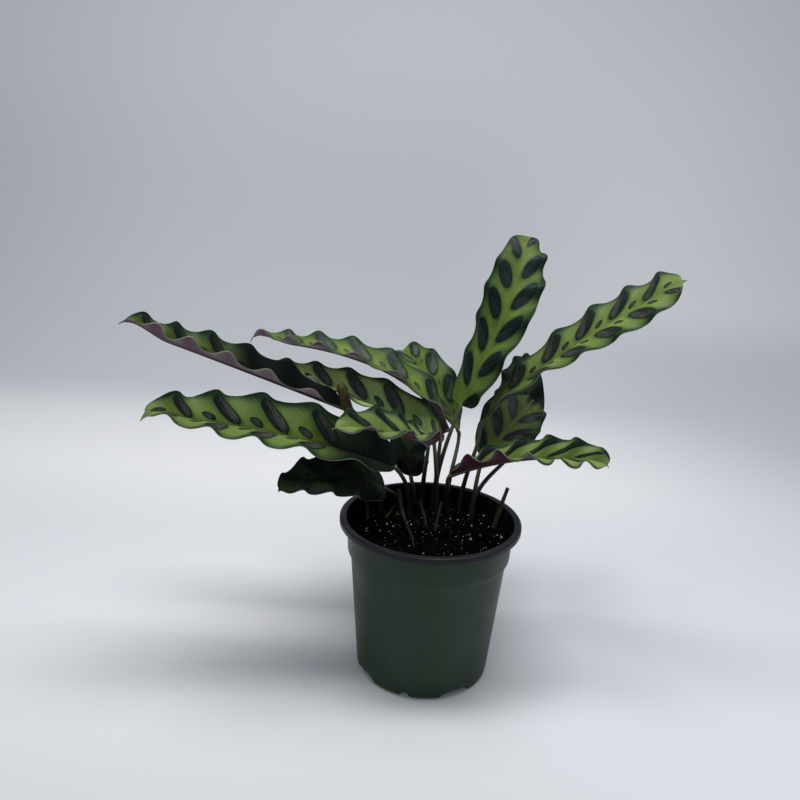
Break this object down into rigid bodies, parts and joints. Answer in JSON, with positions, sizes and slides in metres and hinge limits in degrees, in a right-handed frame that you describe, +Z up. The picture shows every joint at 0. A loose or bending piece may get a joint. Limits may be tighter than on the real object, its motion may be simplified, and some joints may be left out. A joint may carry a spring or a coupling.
{
  "type": "rattlesnake plant in a nursery pot",
  "caption": "Potted rattlesnake plant: long waved leaves with dark oval blotches and maroon undersides, in a round green nursery pot with a rolled lip.",
  "frame": {"origin": "centre of the pot's underside, on the surface it stands on", "axes": "+Z up through the pot; +X towards the right-hand leaves, the plant's widest spread; -Y towards the side it is looked at from"},
  "size_m": [0.3183, 0.199, 0.2775],
  "materials": {
    "pot_plastic": "semi-gloss",
    "potting_soil": "rough",
    "leaf_blade": "satin",
    "dry_stem": "rough"
  },
  "bodies": {
    "root": {"pot": "pot_plastic", "soil": "potting_soil", "leaf_left_high": "leaf_blade", "leaf_left_low": "leaf_blade", "leaf_left_back": "leaf_blade", "leaf_left_middle": "leaf_blade", "leaf_back": "leaf_blade", "leaf_upright": "leaf_blade", "leaf_right_high": "leaf_blade", "leaf_right_middle": "leaf_blade", "leaf_right_rear": "leaf_blade", "leaf_right_low": "leaf_blade", "leaf_front_small": "leaf_blade", "leaf_left_drooping": "leaf_blade", "leaf_centre_shaded": "leaf_blade", "new_leaf_rolled": "leaf_blade", "cut_stub_right": "dry_stem", "dry_stub_middle": "dry_stem", "dry_stub_front": "dry_stem", "fallen_stub": "dry_stem", "dry_sheath": "dry_stem"}
  },
  "joints": []
}
